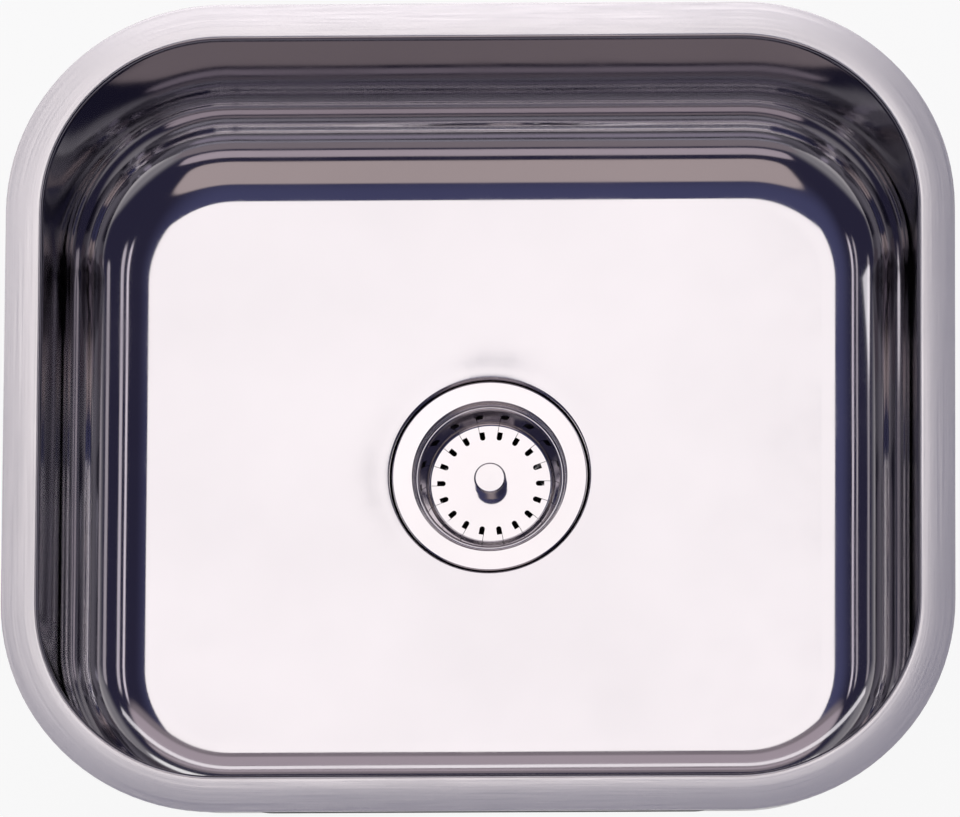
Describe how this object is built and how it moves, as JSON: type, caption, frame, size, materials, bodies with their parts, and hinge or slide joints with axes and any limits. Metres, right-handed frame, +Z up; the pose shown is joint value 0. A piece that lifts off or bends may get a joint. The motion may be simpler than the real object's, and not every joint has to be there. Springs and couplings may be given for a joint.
{
  "type": "kitchen sink with basket strainer",
  "caption": "Single-bowl undermount kitchen sink of drawn stainless steel with a lift-out basket strainer, sound pads and a threaded waste outlet.",
  "frame": {"origin": "middle of the bowl's opening, in the plane of the flange's top face", "axes": "+Z up out of the bowl, +X along the sink's long side, +Y to its back"},
  "size_m": [0.53, 0.466, 0.24],
  "materials": {
    "bowl_steel": "mirror-polished inside, satin flange",
    "strainer_steel": "polished",
    "basket_steel": "polished",
    "knob_steel": "polished, turned",
    "stem_steel": "bright drawn",
    "screw_steel": "bright",
    "pad_rubber": "matte moulded sheet",
    "seal_rubber": "soft matte",
    "stopper_rubber": "soft satin",
    "waste_plastic": "moulded, lightly textured",
    "bush_plastic": "moulded",
    "insert_brass": "turned"
  },
  "bodies": {
    "sink": {"bowl": "bowl_steel", "front_pad": "pad_rubber", "right_pad": "pad_rubber", "back_pad": "pad_rubber", "left_pad": "pad_rubber", "floor_pad_left": "pad_rubber", "floor_pad_right": "pad_rubber", "flange_seal": "seal_rubber", "strainer_cup": "strainer_steel", "screw_washer": "seal_rubber", "clamp_screw": "screw_steel", "brass_insert": "insert_brass", "body_gasket": "seal_rubber", "waste_body": "waste_plastic", "outlet_tube": "waste_plastic"},
    "bush": {"stem_bush": "bush_plastic"},
    "basket": {"basket": "basket_steel", "knob": "knob_steel", "stem": "stem_steel", "stem_spacer": "stem_steel", "stopper_plate": "stem_steel", "stopper": "stopper_rubber", "stem_nut": "stem_steel"}
  },
  "joints": [
    {"name": "basket_lift", "type": "slide", "parent": "sink", "child": "bush", "axis": [0, 0, 1], "range_m": [0, 0.25]},
    {"name": "basket_turn", "type": "hinge", "parent": "bush", "child": "basket", "pos_m": [0, 0, -0.195], "axis": [0, 0, 1], "continuous": true}
  ]
}
